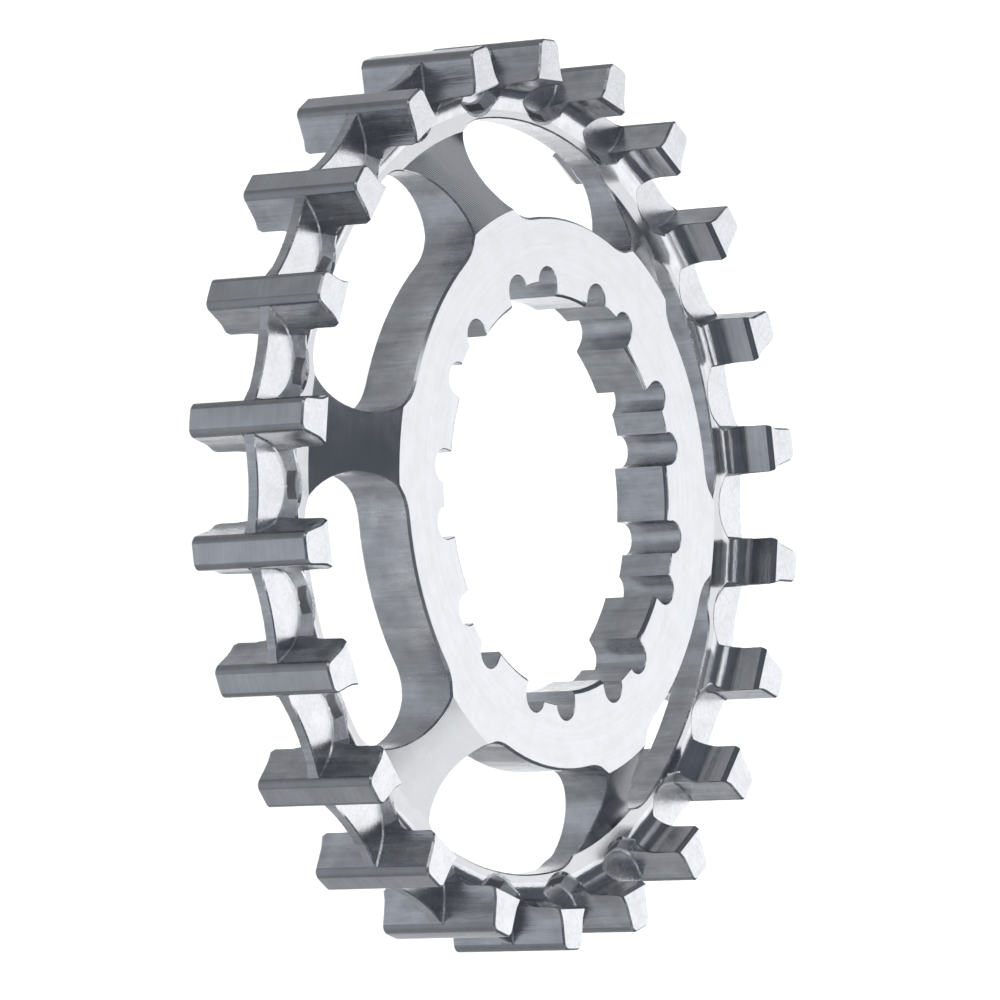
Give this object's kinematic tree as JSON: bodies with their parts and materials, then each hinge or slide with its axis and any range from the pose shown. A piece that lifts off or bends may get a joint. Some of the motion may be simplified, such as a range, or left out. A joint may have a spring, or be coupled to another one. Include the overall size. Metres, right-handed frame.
{
  "type": "belt drive sprocket",
  "caption": "One-piece toothed rear sprocket for a bicycle drive belt, with a centre guide flange, an open spoked web and a splined bore.",
  "frame": {"origin": "on the sprocket's axis, in the plane of the rear ends of the teeth", "axes": "+Z along the axis, from the rear ends of the teeth towards the hub's front face"},
  "size_m": [0.075, 0.0746, 0.011],
  "materials": {
    "steel": "machined and finely brushed stainless steel, with flat end faces and a bright hub face"
  },
  "bodies": {
    "root": {"sprocket": "steel"}
  },
  "joints": []
}
